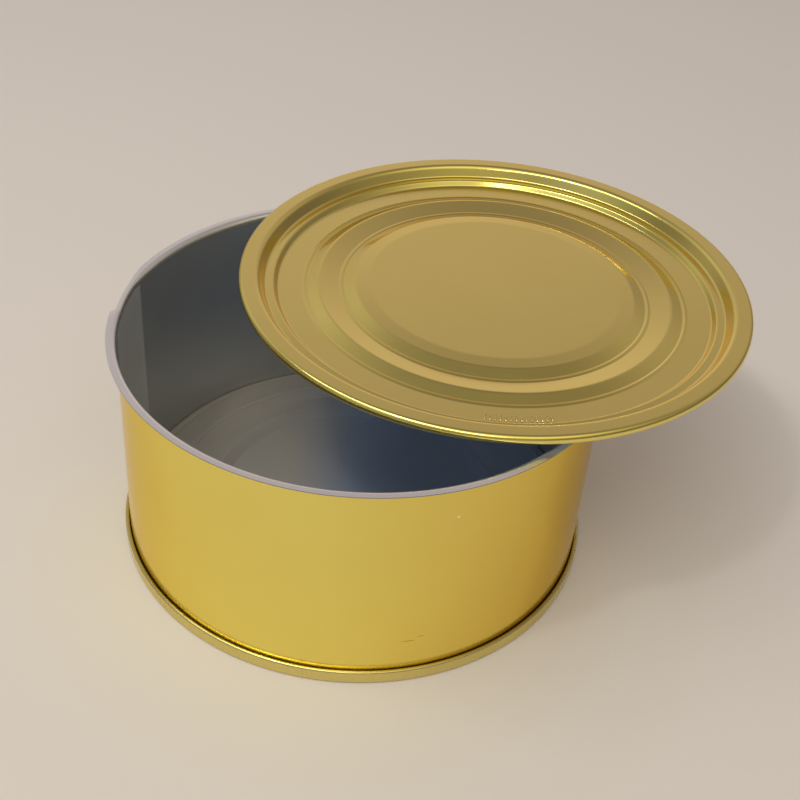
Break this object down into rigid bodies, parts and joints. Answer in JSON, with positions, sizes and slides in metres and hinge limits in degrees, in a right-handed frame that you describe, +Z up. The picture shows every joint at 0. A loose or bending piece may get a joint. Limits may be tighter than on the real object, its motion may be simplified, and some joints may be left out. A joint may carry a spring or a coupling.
{
  "type": "empty tin can",
  "caption": "Round open food can of lacquered tinplate, double seamed at the foot and flanged at the mouth, with its loose stamped end lying across the rim.",
  "frame": {"origin": "on the can's own axis, at the foot of the double seam, where the can stands", "axes": "+Z up along the can's axis; the loose lid lies across the rim towards +X and +Y; the side weld is at the left, near -X"},
  "size_m": [0.1335, 0.1233, 0.0534],
  "materials": {
    "gold_lacquered_tinplate": "satin",
    "plain_tinplate": "satin"
  },
  "bodies": {
    "root": {"can_body": "gold_lacquered_tinplate", "bottom_end": "gold_lacquered_tinplate", "loose_lid": "gold_lacquered_tinplate"}
  },
  "joints": []
}
